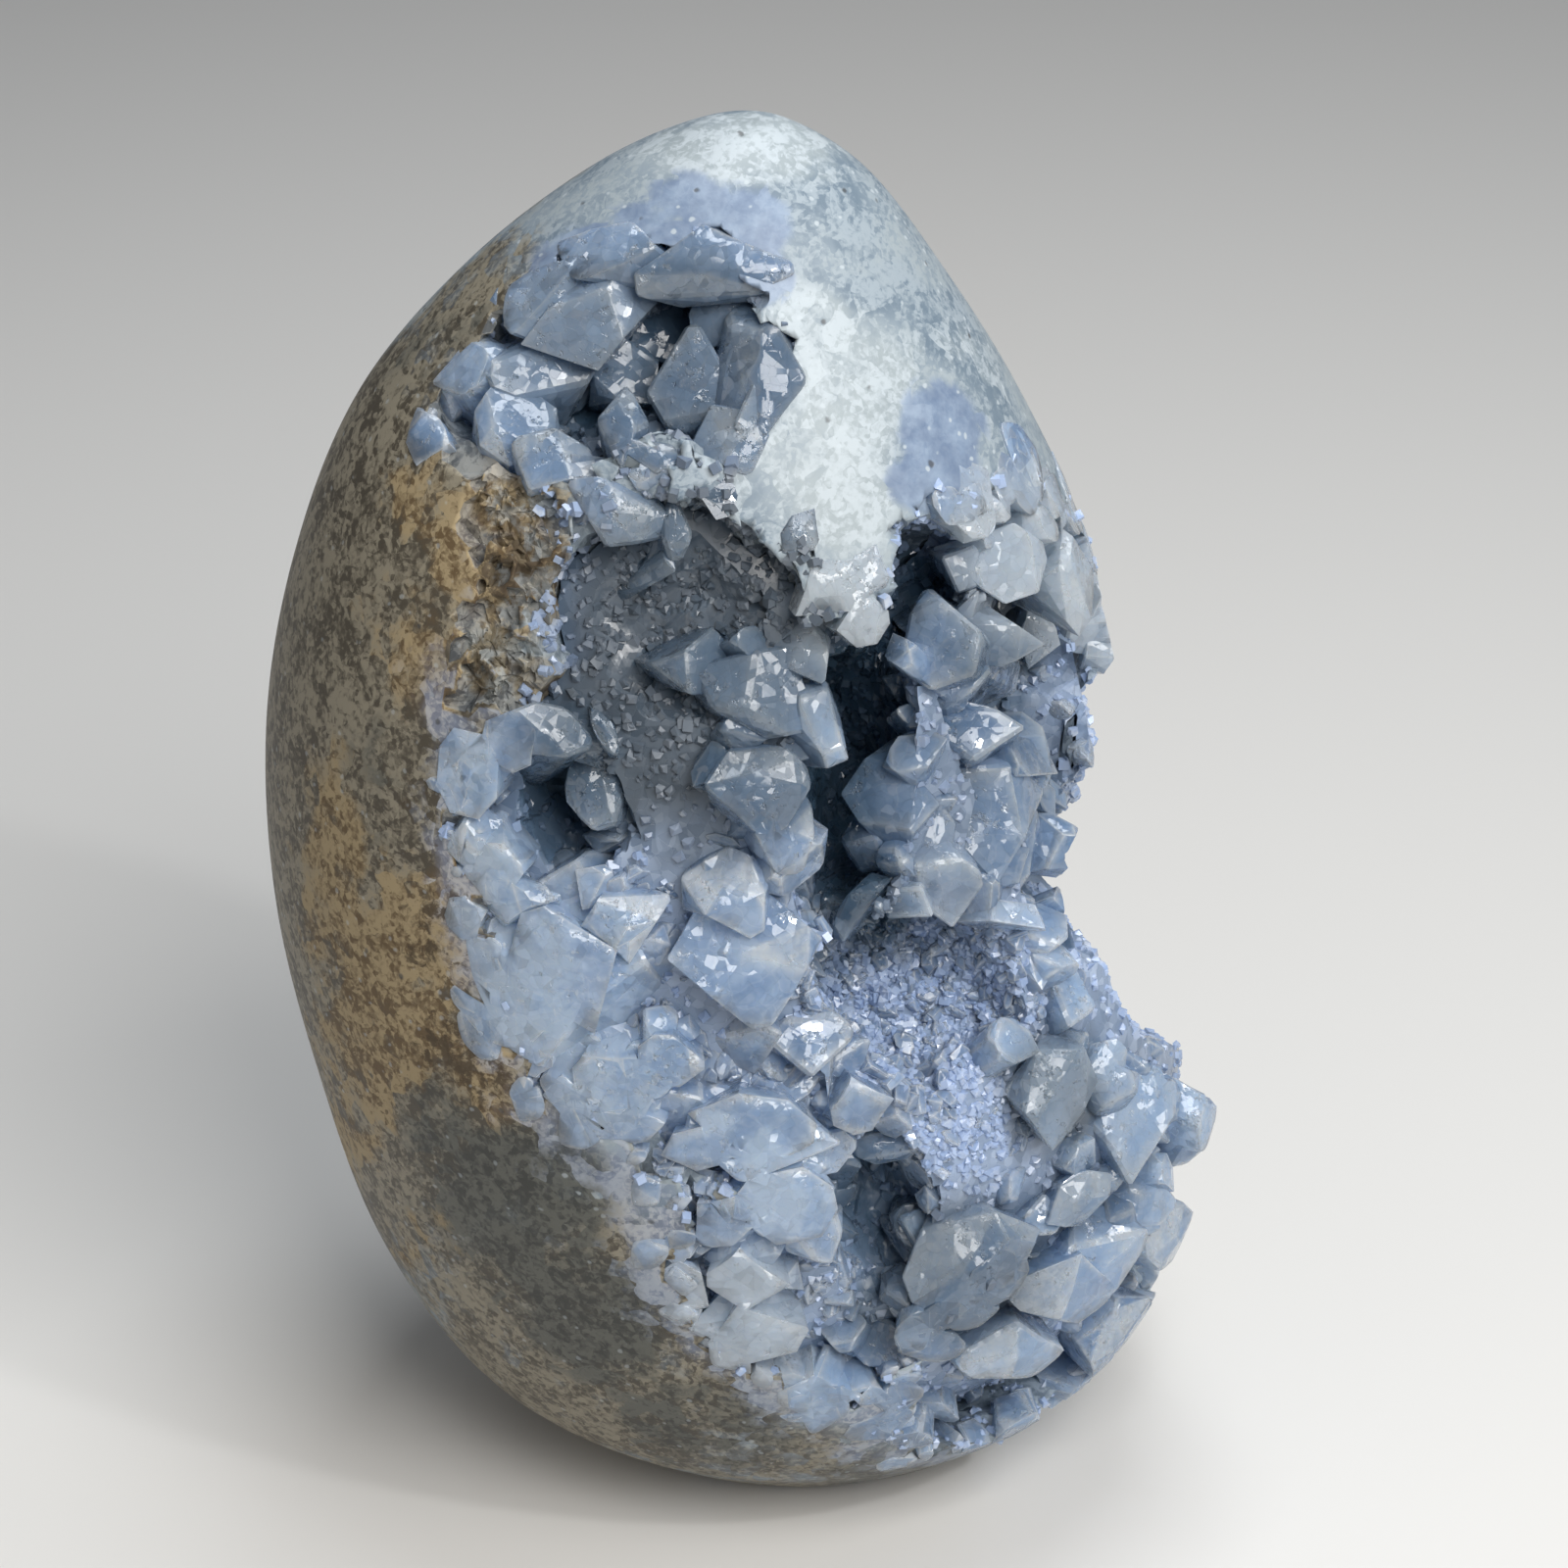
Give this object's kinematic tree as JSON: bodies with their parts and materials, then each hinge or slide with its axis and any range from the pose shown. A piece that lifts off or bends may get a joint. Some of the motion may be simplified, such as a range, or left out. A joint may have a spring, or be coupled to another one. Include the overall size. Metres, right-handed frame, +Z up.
{
  "type": "celestite geode egg",
  "caption": "Polished egg of pale blue celestite rock standing on a flat base, with open hollows lined with blunt tabular crystals.",
  "frame": {"origin": "on the sawn base, in the middle of the egg's outer box", "axes": "+Z up from the base to the egg's tip, -Y towards the front with the open hollows, +X to the right as seen from the front, where the side is broken open"},
  "size_m": [0.1002, 0.0831, 0.149],
  "materials": {
    "rock": "satin",
    "crystal": "gloss"
  },
  "bodies": {
    "root": {"polished_wall": "rock", "upper_hollow_crystals": "crystal", "main_hollow_crystals": "crystal"}
  },
  "joints": []
}
